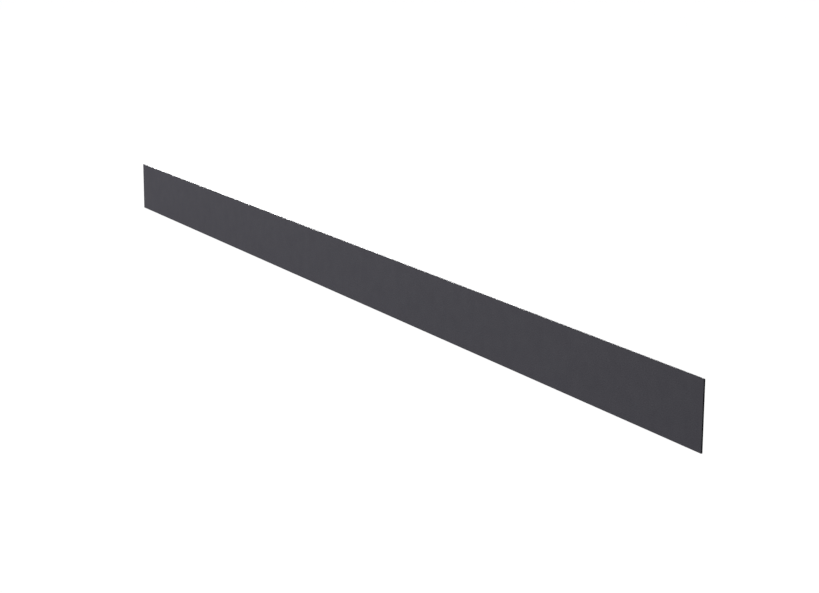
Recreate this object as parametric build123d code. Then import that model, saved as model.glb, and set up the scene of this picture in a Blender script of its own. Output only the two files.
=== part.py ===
from build123d import *
import os

# A kick plate for the base of a run of cabinets: one thin coated sheet, bonded on by a ladder
# of double-sided foam tape that is laid on its back.
# +X runs along the plate, -Y points out of the show face and +Z is up. The origin is at
# mid-length and mid-height, on the plane where the tape meets what the plate is bonded to.

# Driving dimensions, millimetres
PLATE_LENGTH = 2438.4  # 96 in
PLATE_HEIGHT = 114.3  # 4 1/2 in
PLATE_THICKNESS = 2.54  # 0.100 in sheet
CORNER_RADIUS = 1.0  # corners of the outline, seen from the front
FACE_EDGE_RADIUS = 0.5  # eased edge round the show face
BACK_EDGE_RADIUS = 0.2  # deburred edge round the back

TAPE_WIDTH = 19.0  # 3/4 in roll
TAPE_THICKNESS = 1.1
TAPE_EDGE_MARGIN = 5.0  # from the plate's outline to the tape
TAPE_BUTT_GAP = 0.5  # left between a row and each upright strip
INNER_UPRIGHTS = 5  # upright strips between the two at the ends

# Where the strips of tape lie
ROW_LENGTH = PLATE_LENGTH - 2 * TAPE_EDGE_MARGIN
ROW_Z = PLATE_HEIGHT / 2 - TAPE_EDGE_MARGIN - TAPE_WIDTH / 2
END_X = ROW_LENGTH / 2 - TAPE_WIDTH / 2
UPRIGHT_HEIGHT = 2 * ROW_Z - TAPE_WIDTH - 2 * TAPE_BUTT_GAP
UPRIGHT_PITCH = 2 * END_X / (INNER_UPRIGHTS + 1)


def make_plate():
    """The flat sheet, standing on edge, with its show face towards -Y."""
    back_plane = Plane.XZ.offset(TAPE_THICKNESS)
    outline = back_plane * RectangleRounded(PLATE_LENGTH, PLATE_HEIGHT, CORNER_RADIUS)
    sheet = extrude(outline, PLATE_THICKNESS)
    show_face = sheet.faces().sort_by(Axis.Y)[0]
    sheet = fillet(show_face.edges(), FACE_EDGE_RADIUS)
    back_face = sheet.faces().sort_by(Axis.Y)[-1]
    return fillet(back_face.edges(), BACK_EDGE_RADIUS)


def make_row(z):
    """A strip of tape along the whole length, centred on height z."""
    return Pos(0, -TAPE_THICKNESS / 2, z) * Box(ROW_LENGTH, TAPE_THICKNESS, TAPE_WIDTH)


def make_upright(x):
    """A short strip of tape that fills the height between the two rows, centred on x."""
    return Pos(x, -TAPE_THICKNESS / 2, 0) * Box(TAPE_WIDTH, TAPE_THICKNESS, UPRIGHT_HEIGHT)


pieces = {
    "plate": make_plate(),
    "tape_top_row": make_row(ROW_Z),
    "tape_bottom_row": make_row(-ROW_Z),
    "tape_left_end": make_upright(-END_X),
    "tape_right_end": make_upright(END_X),
}
for number in range(1, INNER_UPRIGHTS + 1):
    pieces[f"tape_upright_{number}"] = make_upright(number * UPRIGHT_PITCH - END_X)

os.makedirs("parts", exist_ok=True)
for name, piece in pieces.items():
    piece.label = name
    export_step(piece, f"parts/{name}.step")
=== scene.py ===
import math

import bpy
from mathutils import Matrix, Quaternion, Vector


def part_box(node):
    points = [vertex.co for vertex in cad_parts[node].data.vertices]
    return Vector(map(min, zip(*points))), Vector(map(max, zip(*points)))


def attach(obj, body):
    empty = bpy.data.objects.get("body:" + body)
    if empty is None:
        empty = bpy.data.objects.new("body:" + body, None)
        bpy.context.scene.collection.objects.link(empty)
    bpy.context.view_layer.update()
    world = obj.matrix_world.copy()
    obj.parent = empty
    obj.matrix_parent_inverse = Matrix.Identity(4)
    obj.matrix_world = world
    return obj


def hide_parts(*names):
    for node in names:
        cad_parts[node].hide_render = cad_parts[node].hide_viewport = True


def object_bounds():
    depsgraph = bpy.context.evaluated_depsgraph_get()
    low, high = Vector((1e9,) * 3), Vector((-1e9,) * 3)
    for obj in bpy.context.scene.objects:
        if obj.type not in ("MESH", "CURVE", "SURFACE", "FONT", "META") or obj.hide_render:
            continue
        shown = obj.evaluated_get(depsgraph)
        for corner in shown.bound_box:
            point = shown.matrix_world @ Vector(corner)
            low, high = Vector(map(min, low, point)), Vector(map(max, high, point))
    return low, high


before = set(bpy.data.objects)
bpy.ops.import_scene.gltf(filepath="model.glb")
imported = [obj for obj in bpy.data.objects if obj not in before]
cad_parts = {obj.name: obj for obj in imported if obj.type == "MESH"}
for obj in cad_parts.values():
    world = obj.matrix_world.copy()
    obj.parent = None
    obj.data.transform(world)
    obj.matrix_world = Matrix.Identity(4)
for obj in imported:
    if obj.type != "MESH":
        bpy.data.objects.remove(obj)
cad_low, cad_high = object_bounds()


# ---------------------------------------------------------------- the plate
# One strip of 0.100 in aluminium sheet, sheared to length and height. Its corners are clipped
# round and the edge of its show face is eased, so that the coat holds there. It has no holes.

plate_low, plate_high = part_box("plate")
PLATE_LENGTH = plate_high.x - plate_low.x
PLATE_HEIGHT = plate_high.z - plate_low.z
PLATE_THICKNESS = plate_high.y - plate_low.y
CORNER_RADIUS = 0.0010
FACE_EDGE_RADIUS = 0.0005
BACK_EDGE_RADIUS = 0.0002
RIM_WIDTH = 0.0006  # the rounded rim and a thread of flat, round both faces
CORNER_POINTS = 4  # in each rounded corner of the outline
EDGE_POINTS = 5  # in each rounded edge of the section
WELD_DISTANCE = 0.000001  # points of the rim and of a face that are nearer than this are one
FACING_BACK = 0.999  # a face whose normal has more than this along +Y is the back


def add_node(tree, kind, inputs, **settings):
    """Adds a node with these settings, and links or fills its inputs, given by name or number."""
    node = tree.nodes.new(kind)
    for name, value in settings.items():
        setattr(node, name, value)
    for name, value in inputs.items():
        if isinstance(value, bpy.types.NodeSocket):
            tree.links.new(value, node.inputs[name])
        else:
            node.inputs[name].default_value = value
    return node


def calculate(tree, operation, first, second=0.0):
    """A Math node's result, in a material or in a shape."""
    return add_node(tree, "ShaderNodeMath", {0: first, 1: second}, operation=operation).outputs[0]


def new_shape_tree(name, sizes, materials):
    """An empty Geometry Nodes tree with one named input for each size and material."""
    tree = bpy.data.node_groups.new(name, "GeometryNodeTree")
    tree.is_modifier = True
    for size in sizes:
        tree.interface.new_socket(name=size, in_out="INPUT", socket_type="NodeSocketFloat")
    for material in materials:
        tree.interface.new_socket(name=material, in_out="INPUT", socket_type="NodeSocketMaterial")
    tree.interface.new_socket(name="Shape", in_out="OUTPUT", socket_type="NodeSocketGeometry")
    return tree, tree.nodes.new("NodeGroupInput").outputs


def finish_shape_tree(tree, shape):
    """Links the finished shape to the tree's output."""
    add_node(tree, "NodeGroupOutput", {"Shape": shape})


def combine(tree, x=0.0, y=0.0, z=0.0):
    """A vector from three sizes."""
    return add_node(tree, "ShaderNodeCombineXYZ", {"X": x, "Y": y, "Z": z}).outputs[0]


def make_plate_tree():
    """The outline, swept round by the section of its edge and closed by two flat faces."""
    tree, size = new_shape_tree(
        "plate_shape",
        ("Length", "Height", "Thickness", "Back Y", "Corner Radius", "Face Edge Radius",
         "Back Edge Radius", "Rim Width"),
        ("Coat", "Bare Back"),
    )
    rim = size["Rim Width"]
    thickness = size["Thickness"]

    twice_rim = calculate(tree, "MULTIPLY", rim, 2.0)
    rectangle = add_node(tree, "GeometryNodeCurvePrimitiveQuadrilateral", {
        "Width": calculate(tree, "SUBTRACT", size["Length"], twice_rim),
        "Height": calculate(tree, "SUBTRACT", size["Height"], twice_rim),
    }, mode="RECTANGLE")
    outline = add_node(tree, "GeometryNodeFilletCurve", {
        "Curve": rectangle.outputs["Curve"],
        "Radius": calculate(tree, "SUBTRACT", size["Corner Radius"], rim),
        "Count": CORNER_POINTS,
    }, mode="POLY").outputs["Curve"]

    section_box = add_node(tree, "GeometryNodeCurvePrimitiveQuadrilateral", {
        "Point 1": combine(tree),
        "Point 2": combine(tree, rim),
        "Point 3": combine(tree, rim, thickness),
        "Point 4": combine(tree, 0.0, thickness),
    }, mode="POINTS")
    section_open = add_node(tree, "GeometryNodeSetSplineCyclic", {
        "Geometry": section_box.outputs["Curve"],
        "Cyclic": False,
    })
    across = add_node(tree, "ShaderNodeSeparateXYZ", {
        0: add_node(tree, "GeometryNodeInputPosition", {}).outputs[0],
    })
    edge_radius = add_node(tree, "ShaderNodeMapRange", {
        "Value": across.outputs["Y"],
        "From Min": 0.0,
        "From Max": thickness,
        "To Min": size["Face Edge Radius"],
        "To Max": size["Back Edge Radius"],
    })
    section = add_node(tree, "GeometryNodeFilletCurve", {
        "Curve": section_open.outputs[0],
        "Radius": edge_radius.outputs["Result"],
        "Count": EDGE_POINTS,
    }, mode="POLY").outputs["Curve"]
    edge = add_node(tree, "GeometryNodeCurveToMesh", {"Curve": outline, "Profile Curve": section})

    show_face = add_node(tree, "GeometryNodeFillCurve", {"Curve": outline}, mode="NGONS")
    back_face = add_node(tree, "GeometryNodeTransform", {
        "Geometry": add_node(tree, "GeometryNodeFlipFaces", {0: show_face.outputs[0]}).outputs[0],
        "Translation": combine(tree, z=calculate(tree, "MULTIPLY", thickness, -1.0)),
    })
    joined = add_node(tree, "GeometryNodeJoinGeometry", {0: edge.outputs[0]})
    tree.links.new(show_face.outputs[0], joined.inputs[0])
    tree.links.new(back_face.outputs[0], joined.inputs[0])
    closed = add_node(tree, "GeometryNodeMergeByDistance", {
        0: joined.outputs[0],
        "Distance": WELD_DISTANCE,
    })
    smooth = add_node(tree, "GeometryNodeSetShadeSmooth", {0: closed.outputs[0]})
    standing = add_node(tree, "GeometryNodeTransform", {
        "Geometry": smooth.outputs[0],
        "Translation": combine(tree, y=calculate(tree, "SUBTRACT", size["Back Y"], thickness)),
        "Rotation": (math.pi / 2, 0.0, 0.0),
    })
    real = add_node(tree, "GeometryNodeRealizeInstances", {0: standing.outputs[0]})
    coated = add_node(tree, "GeometryNodeSetMaterial", {
        "Geometry": real.outputs[0],
        "Material": size["Coat"],
    })
    facing = add_node(tree, "ShaderNodeSeparateXYZ", {
        0: add_node(tree, "GeometryNodeInputNormal", {}).outputs[0],
    })
    finished = add_node(tree, "GeometryNodeSetMaterial", {
        "Geometry": coated.outputs[0],
        "Selection": calculate(tree, "GREATER_THAN", facing.outputs["Y"], FACING_BACK),
        "Material": size["Bare Back"],
    })
    finish_shape_tree(tree, finished.outputs[0])
    return tree


def grow_piece(name, tree, inputs):
    """Runs a tree with these inputs and keeps its result as a plain mesh."""
    piece = bpy.data.objects.new(name, bpy.data.meshes.new(name))
    bpy.context.scene.collection.objects.link(piece)
    modifier = piece.modifiers.new(name, "NODES")
    modifier.node_group = tree
    for socket in tree.interface.items_tree:
        if socket.name in inputs:
            modifier[socket.identifier] = inputs[socket.name]
    depsgraph = bpy.context.evaluated_depsgraph_get()
    made = bpy.data.meshes.new_from_object(piece.evaluated_get(depsgraph))
    piece.modifiers.clear()
    piece.data = made
    if made.materials[0] is None:
        made.materials.pop(index=0)  # the empty slot that some grown meshes start with
    made.name = name
    return piece


COAT_DARK = (0.0425, 0.0400, 0.0540, 1.0)
COAT_LIGHT = (0.0455, 0.0430, 0.0580, 1.0)
COAT_RUBBED = (0.0700, 0.0680, 0.0800, 1.0)
COAT_ROUGHNESS = 0.72
METAL_DULL = (0.620, 0.625, 0.635, 1.0)
METAL_BRIGHT = (0.820, 0.825, 0.835, 1.0)
METAL_ROUGHNESS = 0.36
RUB_WIDTH = 0.0006  # the thread along each edge that cloths and gloves have polished
FRINGE_START = 0.0018  # the coat is whole up to here, measured in from the outline
FRINGE_END = 0.0075  # and its last specks are here
COAT_SPREAD = 0.03  # how far the coat's roughness strays, either way
METAL_SPREAD = 0.05  # and the metal's
POLISH = 0.2  # how much less rough an edge would be if it were rubbed through
RUBBED_SHARE = 0.6  # the most that an edge is rubbed
SMUDGE_DULLING = 0.10  # how much rougher the metal is where it was handled
PEEL_HEIGHT = 0.00024
TOOTH_HEIGHT = 0.00010
STREAK_DEPTH = 0.000006
OVERSPRAY_HEIGHT = 0.00006

# Features to the metre of each pattern. A pattern that is drawn out has one number each for
# along the sheet, through it and up it.
CLOUDS = 7.0
SPECKS = 1100.0
PEEL = 480.0
TOOTH = 2600.0
RUBBED_PATCHES = 60.0
MATT_PATCHES = 35.0
ROLLED_STREAKS = (9.0, 1.0, 1400.0)
ROLLED_BANDS = (1.2, 1.0, 60.0)
SMUDGES = 11.0
POWDER = 1500.0
DRIFTS = 90.0


def new_material(name):
    """A node material, with its shader and the place on the piece that its patterns read."""
    material = bpy.data.materials.new(name)
    material.use_nodes = True
    tree = material.node_tree
    place = tree.nodes.new("ShaderNodeTexCoord").outputs["Object"]
    return material, tree, tree.nodes["Principled BSDF"], place


def stretched(tree, place, along, across, up):
    """The same place with each direction scaled, so that a pattern can be drawn out."""
    return add_node(tree, "ShaderNodeMapping", {
        "Vector": place,
        "Scale": (along, across, up),
    }).outputs[0]


def grain(tree, place, per_metre, detail=2.0, roughness=0.5):
    """A soft random pattern from 0 to 1, with so many features to the metre."""
    return add_node(tree, "ShaderNodeTexNoise", {
        "Vector": place,
        "Scale": per_metre,
        "Detail": detail,
        "Roughness": roughness,
    }).outputs[0]


def between(tree, value, low, high, at_low=0.0, at_high=1.0):
    """Carries a value from one range to another, and holds it at the ends."""
    return add_node(tree, "ShaderNodeMapRange", {
        "Value": value,
        "From Min": low,
        "From Max": high,
        "To Min": at_low,
        "To Max": at_high,
    }).outputs[0]


def blend_colour(tree, share, first, second):
    """The first colour where the share is 0, and the second where it is 1."""
    return add_node(tree, "ShaderNodeMix", {0: share, 6: first, 7: second}, data_type="RGBA").outputs[2]


def blend_number(tree, share, first, second):
    """The first number where the share is 0, and the second where it is 1."""
    return add_node(tree, "ShaderNodeMix", {0: share, 2: first, 3: second}).outputs[0]


def raised(tree, height, metres, under=None):
    """A bump of this height, on top of another bump if there is one."""
    inputs = {"Height": height, "Distance": metres, "Strength": 1.0}
    if under is not None:
        inputs["Normal"] = under
    return add_node(tree, "ShaderNodeBump", inputs).outputs[0]


def distance_from_outline(tree, place):
    """How far a point on either face is from the nearest edge of the sheet."""
    parts = add_node(tree, "ShaderNodeSeparateXYZ", {0: place})
    along = calculate(tree, "ABSOLUTE", parts.outputs["X"])
    up = calculate(tree, "ABSOLUTE", parts.outputs["Z"])
    from_end = calculate(tree, "SUBTRACT", PLATE_LENGTH / 2, along)
    from_side = calculate(tree, "SUBTRACT", PLATE_HEIGHT / 2, up)
    return calculate(tree, "MINIMUM", from_end, from_side)


def coat_tone(tree, place):
    """The coat's colour: a dark grey, cloudy over a hand's width and finely specked."""
    cloud = between(tree, grain(tree, place, CLOUDS), low=0.35, high=0.65, at_low=0.2, at_high=0.7)
    speck = between(tree, grain(tree, place, SPECKS), low=0.3, high=0.7, at_low=-0.25, at_high=0.25)
    share = add_node(tree, "ShaderNodeMath", {0: cloud, 1: speck}, operation="ADD", use_clamp=True)
    return blend_colour(tree, share.outputs[0], COAT_DARK, COAT_LIGHT)


def coat_surface(tree, place):
    """The cured powder: an orange peel about 2 mm across with a finer tooth on it."""
    peel = raised(tree, grain(tree, place, PEEL, detail=1.0), PEEL_HEIGHT)
    return raised(tree, grain(tree, place, TOOTH, detail=2.0), TOOTH_HEIGHT, under=peel)


def make_coat():
    """Matt powder coat, faintly polished along the edges."""
    material, tree, shader, place = new_material("powder_coat")
    from_outline = distance_from_outline(tree, place)
    edge = between(tree, from_outline, low=0.0, high=RUB_WIDTH, at_low=1.0, at_high=0.0)
    patches = between(tree, grain(tree, place, RUBBED_PATCHES, detail=4.0), low=0.45, high=0.62)
    rubbed = calculate(tree, "MULTIPLY", calculate(tree, "MULTIPLY", edge, patches), RUBBED_SHARE)
    tone = coat_tone(tree, place)
    matt = between(
        tree, grain(tree, place, MATT_PATCHES, detail=3.0), low=0.3, high=0.7,
        at_low=COAT_ROUGHNESS - COAT_SPREAD, at_high=COAT_ROUGHNESS + COAT_SPREAD)
    tree.links.new(blend_colour(tree, rubbed, tone, COAT_RUBBED), shader.inputs["Base Color"])
    tree.links.new(blend_number(tree, rubbed, matt, COAT_ROUGHNESS - POLISH), shader.inputs["Roughness"])
    tree.links.new(coat_surface(tree, place), shader.inputs["Normal"])
    return material


def make_bare_back():
    """Mill finish, drawn out along the sheet by the rolls, with overspray round its margin."""
    material, tree, shader, place = new_material("mill_back")
    streaks = grain(tree, stretched(tree, place, *ROLLED_STREAKS), 1.0, detail=4.0, roughness=0.6)
    bands = grain(tree, stretched(tree, place, *ROLLED_BANDS), 1.0, detail=2.0)
    smudges = grain(tree, place, SMUDGES, detail=5.0, roughness=0.6)
    rolled = calculate(tree, "MULTIPLY", streaks, bands)

    inward = distance_from_outline(tree, place)
    cover = between(tree, inward, low=FRINGE_START, high=FRINGE_END, at_low=1.0, at_high=0.0)
    powder = between(tree, grain(tree, place, POWDER, detail=3.0, roughness=0.7), low=0.3, high=0.7)
    drift = between(
        tree, grain(tree, place, DRIFTS, detail=2.0), low=0.3, high=0.7, at_low=-0.25, at_high=0.25)
    drifted = calculate(tree, "ADD", cover, drift)
    speckled = calculate(tree, "MULTIPLY", cover, powder)
    coated = between(tree, calculate(tree, "ADD", drifted, speckled), low=0.75, high=1.05)

    bright = between(tree, rolled, low=0.15, high=0.38)
    metal = blend_colour(tree, bright, METAL_DULL, METAL_BRIGHT)
    tree.links.new(
        blend_colour(tree, coated, metal, coat_tone(tree, place)),
        shader.inputs["Base Color"],
    )
    tree.links.new(calculate(tree, "SUBTRACT", 1.0, coated), shader.inputs["Metallic"])
    rolled_roughness = between(
        tree, streaks, low=0.3, high=0.7,
        at_low=METAL_ROUGHNESS - METAL_SPREAD, at_high=METAL_ROUGHNESS + METAL_SPREAD)
    dulled = between(tree, smudges, low=0.45, high=0.65, at_low=0.0, at_high=SMUDGE_DULLING)
    handled_roughness = calculate(tree, "ADD", rolled_roughness, dulled)
    tree.links.new(
        blend_number(tree, coated, handled_roughness, COAT_ROUGHNESS),
        shader.inputs["Roughness"],
    )
    scored = raised(tree, streaks, STREAK_DEPTH)
    tree.links.new(raised(tree, coated, OVERSPRAY_HEIGHT, under=scored), shader.inputs["Normal"])
    return material


plate = grow_piece("coated_plate", make_plate_tree(), {
    "Length": PLATE_LENGTH,
    "Height": PLATE_HEIGHT,
    "Thickness": PLATE_THICKNESS,
    "Back Y": plate_high.y,
    "Corner Radius": CORNER_RADIUS,
    "Face Edge Radius": FACE_EDGE_RADIUS,
    "Back Edge Radius": BACK_EDGE_RADIUS,
    "Rim Width": RIM_WIDTH,
    "Coat": make_coat(),
    "Bare Back": make_bare_back(),
})
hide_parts("plate")
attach(plate, "root")


# ---------------------------------------------------------------- the tape
# Double-sided acrylic foam tape off one 19 mm roll, its liner peeled away. Two long strips are
# laid by hand along the back, and seven short ones are cut to stand between them, so each
# wanders a little and bulges at its sides where it was rolled, and each short one leans a little.

tape_low, tape_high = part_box("tape_top_row")
first_low, first_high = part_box("tape_left_end")
last_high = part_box("tape_right_end")[1]
ROW_LENGTH = tape_high.x - tape_low.x
UPRIGHT_LENGTH = first_high.z - first_low.z
UPRIGHT_SPAN = last_high.x - first_high.x  # from the first short strip's middle to the last's
TAPE_WIDTH = tape_high.z - tape_low.z
TAPE_THICKNESS = tape_high.y - tape_low.y
TAPE_BULGE = 0.00015
TAPE_STEP = 0.010  # between sections along a strip
SIDE_CUTS = 5.0  # in the bulging sides of a section, whose bonded faces stay whole
ROW_WANDER = 0.0012
UPRIGHT_WANDER = 0.0004
CUT_SHORT = 0.0006  # the most that a short strip is under its length
LEAN = math.radians(0.5)  # the most that a short strip stands off upright, either way
LAID_OFF = 0.0008  # the most that a short strip stands to one side of its mark
FOAM_COLOUR = (0.030, 0.030, 0.032, 1.0)
CELL_COLOUR = (0.060, 0.060, 0.063, 1.0)
ADHESIVE_COLOUR = (0.022, 0.022, 0.024, 1.0)
SKIN_DEPTH = 0.00006  # how far the glossy adhesive reaches down the foam
SLIT_EDGE_ANGLE = math.radians(30)  # a sharper bend than this is a knife-cut edge
WANDER_PER_METRE = 2.2  # how often a strip drifts up and down as it is laid
CUT_SIDE = 0.499  # a point of the section this far out, in widths, is on a cut side
SKIN_LIMIT = 0.01  # with more adhesive than this share, no foam shows
ADHESIVE_SHINE = 0.24  # roughness in the hollows of the adhesive's ripples
ADHESIVE_DULL = 0.40  # and on their crests
FOAM_ROUGHNESS = 0.92
RIPPLES = 60.0  # features to the metre, as the next two are
DIMPLES = 700.0
CELLS = 5200.0
RIPPLE_HEIGHT = 0.00018
DIMPLE_HEIGHT = 0.00005
CELL_DEPTH = 0.00005
UPRIGHT_SEED = 7.0
LEAN_SEED = 3
LENGTH_SEED = 5
PLACE_SEED = 11


def add_strip(tree, length, width, thickness, bulge, wander, seed):
    """One strip along X, its bonded faces towards -Y and +Y, wandering up and down as laid."""
    path = add_node(tree, "GeometryNodeCurvePrimitiveLine", {
        "Start": combine(tree, calculate(tree, "MULTIPLY", length, -0.5)),
        "End": combine(tree, calculate(tree, "MULTIPLY", length, 0.5)),
    })
    stepped = add_node(tree, "GeometryNodeResampleCurve", {
        "Curve": path.outputs[0],
        "Length": TAPE_STEP,
    }, mode="LENGTH")
    position = add_node(tree, "GeometryNodeInputPosition", {}).outputs[0]
    drift = add_node(tree, "ShaderNodeTexNoise", {
        "Vector": position,
        "W": seed,
        "Scale": WANDER_PER_METRE,
        "Detail": 1.0,
    }, noise_dimensions="4D").outputs[0]
    aside = calculate(tree, "MULTIPLY", calculate(tree, "SUBTRACT", drift, 0.5), wander)
    laid = add_node(tree, "GeometryNodeSetPosition", {
        "Geometry": stepped.outputs[0],
        "Offset": combine(tree, z=aside),
    })

    block = add_node(tree, "GeometryNodeCurvePrimitiveQuadrilateral", {
        "Width": thickness,
        "Height": width,
    }, mode="RECTANGLE")
    corner = add_node(tree, "GeometryNodeInputIndex", {}).outputs[0]
    bonded = calculate(tree, "MODULO", corner, 2.0)
    divided = add_node(tree, "GeometryNodeSubdivideCurve", {
        "Curve": block.outputs["Curve"],
        "Cuts": calculate(tree, "MULTIPLY", calculate(tree, "SUBTRACT", 1.0, bonded), SIDE_CUTS),
    })
    on_section = add_node(tree, "ShaderNodeSeparateXYZ", {
        0: add_node(tree, "GeometryNodeInputPosition", {}).outputs[0],
    })
    from_middle = on_section.outputs["Y"]
    at_side = calculate(
        tree, "GREATER_THAN", calculate(tree, "ABSOLUTE", from_middle),
        calculate(tree, "MULTIPLY", width, CUT_SIDE))
    depth = calculate(tree, "DIVIDE", on_section.outputs["X"],
                      calculate(tree, "MULTIPLY", thickness, 0.5))
    swell = calculate(tree, "SUBTRACT", 1.0, calculate(tree, "MULTIPLY", depth, depth))
    push = calculate(tree, "MULTIPLY", calculate(tree, "MULTIPLY", swell, bulge),
                     calculate(tree, "SIGN", from_middle))
    section = add_node(tree, "GeometryNodeSetPosition", {
        "Geometry": divided.outputs[0],
        "Selection": at_side,
        "Offset": combine(tree, y=push),
    })
    strip = add_node(tree, "GeometryNodeCurveToMesh", {
        "Curve": laid.outputs[0],
        "Profile Curve": section.outputs[0],
        "Fill Caps": True,
    })
    bend = add_node(tree, "GeometryNodeInputMeshEdgeAngle", {}).outputs["Unsigned Angle"]
    return add_node(tree, "GeometryNodeSetShadeSmooth", {
        "Geometry": strip.outputs[0],
        "Selection": calculate(tree, "GREATER_THAN", bend, SLIT_EDGE_ANGLE),
        "Shade Smooth": False,
    }, domain="EDGE").outputs[0]


STRIP_SIZES = ("Length", "Width", "Thickness", "Bulge", "Wander", "Seed")


def make_row_tree():
    """A single strip, lifted to the height of its row, with its outer face on the bonding plane."""
    tree, size = new_shape_tree("tape_row", (*STRIP_SIZES, "Row Z"), ("Tape",))
    strip = add_strip(tree, *[size[name] for name in STRIP_SIZES])
    placed = add_node(tree, "GeometryNodeTransform", {
        "Geometry": strip,
        "Translation": combine(
            tree, y=calculate(tree, "MULTIPLY", size["Thickness"], -0.5), z=size["Row Z"]),
    })
    real = add_node(tree, "GeometryNodeRealizeInstances", {0: placed.outputs[0]})
    finished = add_node(tree, "GeometryNodeSetMaterial", {
        "Geometry": real.outputs[0],
        "Material": size["Tape"],
    })
    finish_shape_tree(tree, finished.outputs[0])
    return tree


def make_upright_tree():
    """Short strips stood on end along a line, each a little different from the next."""
    tree, size = new_shape_tree("tape_uprights", (*STRIP_SIZES, "Count", "Span"), ("Tape",))
    strip = add_strip(tree, *[size[name] for name in STRIP_SIZES])
    half_span = calculate(tree, "MULTIPLY", size["Span"], 0.5)
    level = calculate(tree, "MULTIPLY", size["Thickness"], -0.5)
    marks = add_node(tree, "GeometryNodeMeshLine", {
        "Count": size["Count"],
        "Start Location": combine(tree, calculate(tree, "MULTIPLY", half_span, -1.0), level),
        "Offset": combine(tree, half_span, level),
    }, mode="END_POINTS")

    def by_chance(low, high, seed):
        """A number for each strip, the same on every run."""
        return add_node(tree, "FunctionNodeRandomValue", {
            2: low,
            3: high,
            "Seed": seed,
        }, data_type="FLOAT").outputs[1]

    leaning = by_chance(-LEAN, LEAN, LEAN_SEED)
    turned = combine(tree, y=calculate(tree, "ADD", leaning, math.pi / 2))
    shortened = by_chance(1.0 - CUT_SHORT / UPRIGHT_LENGTH, 1.0, LENGTH_SEED)
    stood = add_node(tree, "GeometryNodeInstanceOnPoints", {
        "Points": marks.outputs[0],
        "Instance": strip,
        "Rotation": turned,
        "Scale": combine(tree, shortened, 1.0, 1.0),
    })
    laid = add_node(tree, "GeometryNodeTranslateInstances", {
        "Instances": stood.outputs[0],
        "Translation": combine(tree, by_chance(-LAID_OFF, LAID_OFF, PLACE_SEED)),
        "Local Space": False,
    })
    real = add_node(tree, "GeometryNodeRealizeInstances", {0: laid.outputs[0]})
    finished = add_node(tree, "GeometryNodeSetMaterial", {
        "Geometry": real.outputs[0],
        "Material": size["Tape"],
    })
    finish_shape_tree(tree, finished.outputs[0])
    return tree


def make_tape():
    """Glossy black adhesive on the bonded face, over a matt foam of fine closed cells."""
    material, tree, shader, place = new_material("foam_tape")
    depth = add_node(tree, "ShaderNodeSeparateXYZ", {0: place}).outputs["Y"]
    adhesive = between(tree, depth, low=-SKIN_DEPTH, high=0.0)
    skinned = calculate(tree, "GREATER_THAN", adhesive, SKIN_LIMIT)
    cells = add_node(tree, "ShaderNodeTexVoronoi", {
        "Vector": place,
        "Scale": CELLS,
    }).outputs["Distance"]
    pores = between(tree, cells, low=0.15, high=0.6, at_low=1.0, at_high=0.0)
    foam = blend_colour(tree, pores, CELL_COLOUR, FOAM_COLOUR)
    tree.links.new(blend_colour(tree, skinned, foam, ADHESIVE_COLOUR), shader.inputs["Base Color"])

    ripple = grain(tree, place, RIPPLES, detail=3.0)
    wet_out = between(
        tree, ripple, low=0.35, high=0.65, at_low=ADHESIVE_SHINE, at_high=ADHESIVE_DULL)
    tree.links.new(blend_number(tree, skinned, FOAM_ROUGHNESS, wet_out), shader.inputs["Roughness"])
    waves = raised(tree, ripple, RIPPLE_HEIGHT)
    dimples = raised(tree, grain(tree, place, DIMPLES, detail=2.0), DIMPLE_HEIGHT, under=waves)
    open_pores = calculate(tree, "MULTIPLY", pores, calculate(tree, "SUBTRACT", 1.0, skinned))
    tree.links.new(raised(tree, open_pores, CELL_DEPTH, under=dimples), shader.inputs["Normal"])
    return material


tape = make_tape()
row_tree = make_row_tree()
for seed, (name, node) in enumerate((("top_row_of_tape", "tape_top_row"),
                                     ("bottom_row_of_tape", "tape_bottom_row"))):
    low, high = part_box(node)
    row = grow_piece(name, row_tree, {
        "Length": ROW_LENGTH,
        "Width": TAPE_WIDTH,
        "Thickness": TAPE_THICKNESS,
        "Bulge": TAPE_BULGE,
        "Wander": ROW_WANDER,
        "Seed": float(seed),
        "Row Z": (low.z + high.z) / 2,
        "Tape": tape,
    })
    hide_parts(node)
    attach(row, "root")

upright_nodes = sorted(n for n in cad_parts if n.startswith("tape_") and not n.endswith("_row"))
uprights = grow_piece("upright_tapes", make_upright_tree(), {
    "Length": UPRIGHT_LENGTH,
    "Width": TAPE_WIDTH,
    "Thickness": TAPE_THICKNESS,
    "Bulge": TAPE_BULGE,
    "Wander": UPRIGHT_WANDER,
    "Seed": UPRIGHT_SEED,
    "Count": len(upright_nodes),
    "Span": UPRIGHT_SPAN,
    "Tape": tape,
})
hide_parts(*upright_nodes)
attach(uprights, "root")


# ---------------------------------------------------------------- the studio
# The plate stands on edge on a white acrylic light panel that shows no shadow, in a white room.
# Light comes mostly from the left and from four soft boxes. The panel sheds less light from just
# short of the right-hand end outwards, so that end stays dark.

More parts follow.
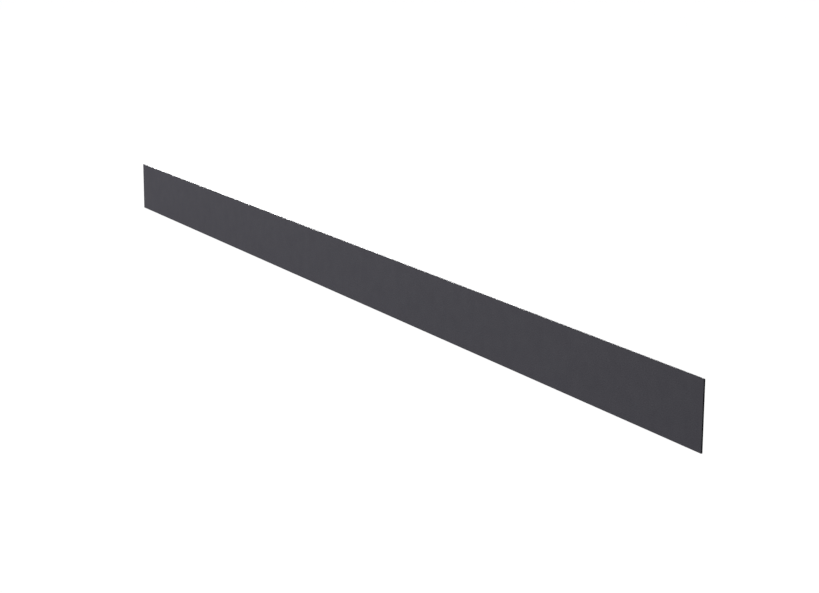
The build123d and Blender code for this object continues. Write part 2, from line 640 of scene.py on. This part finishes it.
WHITE = (1.0, 1.0, 1.0, 1.0)
TABLE_HALF_WIDTH = 60.0
TABLE_WHITE = 1.0  # as the camera sees the panel
TABLE_LIGHT = 0.165  # what the panel sheds on the plate
FLAG_START = 1.15  # the X where the panel's light begins to fall off
FLAG_END = 1.60  # the X where it has fallen to the least
FLAGGED_LIGHT = 0.03  # what the panel sheds from there on
TABLE_BOUNCE = 0.05  # the share that it returns of the light that falls on it
ROOM_WHITE = 1.0  # as the camera sees the walls
ROOM_LOW_LIGHT = 0.60  # what the left-hand wall sheds near the floor
ROOM_HIGH_LIGHT = 0.15  # and higher up
RIGHT_WALL_SHARE = 0.05  # how much of that the right-hand wall sheds
LEFT_WALL = -0.9  # X of a direction: from here leftwards a wall counts as left-hand
RIGHT_WALL = 0.2  # and from here rightwards as right-hand
LOW_WALL = 0.08  # Z of a direction: below this a wall counts as near the floor
HIGH_WALL = 0.25  # and above this as higher up

corner_signs = ((-1, -1), (1, -1), (1, 1), (-1, 1))
table_mesh = bpy.data.meshes.new("table")
table_mesh.from_pydata(
    [(x * TABLE_HALF_WIDTH, y * TABLE_HALF_WIDTH, cad_low.z) for x, y in corner_signs],
    [],
    [(0, 1, 2, 3)],
)
table = bpy.data.objects.new("table", table_mesh)
bpy.context.scene.collection.objects.link(table)

acrylic, acrylic_tree, acrylic_shader, acrylic_place = new_material("white_acrylic")
acrylic_shader.inputs["Base Color"].default_value = (TABLE_BOUNCE, TABLE_BOUNCE, TABLE_BOUNCE, 1.0)
acrylic_shader.inputs["Roughness"].default_value = 1.0
acrylic_shader.inputs["Specular IOR Level"].default_value = 0.0
acrylic_shader.inputs["Emission Color"].default_value = WHITE
seen = acrylic_tree.nodes.new("ShaderNodeLightPath").outputs["Is Camera Ray"]
along_table = add_node(acrylic_tree, "ShaderNodeSeparateXYZ", {0: acrylic_place}).outputs["X"]
panel_light = between(
    acrylic_tree, along_table, low=FLAG_START, high=FLAG_END, at_low=TABLE_LIGHT, at_high=FLAGGED_LIGHT)
acrylic_tree.links.new(
    blend_number(acrylic_tree, seen, panel_light, TABLE_WHITE),
    acrylic_shader.inputs["Emission Strength"],
)
table_mesh.materials.append(acrylic)

world = bpy.data.worlds.new("studio")
bpy.context.scene.world = world
world.use_nodes = True
room_tree = world.node_tree
room_direction = add_node(room_tree, "ShaderNodeSeparateXYZ", {
    0: room_tree.nodes.new("ShaderNodeTexCoord").outputs["Generated"],
}).outputs
from_left = between(
    room_tree, room_direction["X"], low=LEFT_WALL, high=RIGHT_WALL, at_low=1.0, at_high=RIGHT_WALL_SHARE)
by_height = between(
    room_tree, room_direction["Z"], low=LOW_WALL, high=HIGH_WALL,
    at_low=ROOM_LOW_LIGHT, at_high=ROOM_HIGH_LIGHT)
room_light = calculate(room_tree, "MULTIPLY", from_left, by_height)
room_seen = room_tree.nodes.new("ShaderNodeLightPath").outputs["Is Camera Ray"]
room_tree.links.new(
    blend_number(room_tree, room_seen, room_light, ROOM_WHITE),
    room_tree.nodes["Background"].inputs["Strength"],
)
room_tree.nodes["Background"].inputs["Color"].default_value = WHITE


def add_soft_box(name, place, aim, width, height, watts):
    """A rectangular light that faces the point it is aimed at and isn't seen itself."""
    light = bpy.data.lights.new(name, "AREA")
    light.shape = "RECTANGLE"
    light.size = width
    light.size_y = height
    light.energy = watts
    holder = bpy.data.objects.new(name, light)
    bpy.context.scene.collection.objects.link(holder)
    holder.location = place
    holder.rotation_mode = "QUATERNION"
    holder.rotation_quaternion = (Vector(aim) - Vector(place)).to_track_quat("-Z", "Y")
    holder.visible_camera = False


add_soft_box(
    "front_box", place=(-3.0, -6.6, 1.3), aim=(-0.2, 0.0, 0.0), width=4.4, height=2.2, watts=370.0)
add_soft_box(
    "overhead_box", place=(0.2, -0.7, 2.6), aim=(0.0, -0.1, 0.0), width=3.2, height=1.4, watts=8.0)
add_soft_box(
    "edge_box", place=(-3.9, 2.3, 1.0), aim=(0.2, 0.0, 0.0), width=3.0, height=1.4, watts=440.0)
add_soft_box(
    "back_box", place=(-1.4, 3.6, 3.2), aim=(0.0, 0.0, 0.0), width=3.0, height=1.8, watts=170.0)

# The camera stands off the right-hand end with a long lens, looking down a little along the
# plate, and is aimed at a point on the show face to the right of its middle.
CAMERA_AZIMUTH = math.radians(62.50)
CAMERA_ELEVATION = math.radians(12.27)
CAMERA_ROLL = math.radians(0.28)
CAMERA_DISTANCE = 3.526
LENS_LENGTH = 81.38  # millimetres, as the sensor is
SENSOR_WIDTH = 36.0
AIM_RIGHT = 0.286  # how far right of the plate's middle
AIM_UP = -0.0017  # and how far above it
aim = Vector((AIM_RIGHT, plate_low.y, AIM_UP))

towards_camera = Vector((
    math.sin(CAMERA_AZIMUTH) * math.cos(CAMERA_ELEVATION),
    -math.cos(CAMERA_AZIMUTH) * math.cos(CAMERA_ELEVATION),
    math.sin(CAMERA_ELEVATION),
))
lens = bpy.data.cameras.new("camera")
lens.lens = LENS_LENGTH
lens.sensor_width = SENSOR_WIDTH
lens.clip_end = 3 * TABLE_HALF_WIDTH
camera = bpy.data.objects.new("camera", lens)
bpy.context.scene.collection.objects.link(camera)
camera.location = aim + towards_camera * CAMERA_DISTANCE
camera.rotation_mode = "QUATERNION"
level_view = (-towards_camera).to_track_quat("-Z", "Y")
camera.rotation_quaternion = level_view @ Quaternion((0.0, 0.0, 1.0), CAMERA_ROLL)
bpy.context.scene.camera = camera
bpy.context.scene.view_settings.view_transform = "Standard"
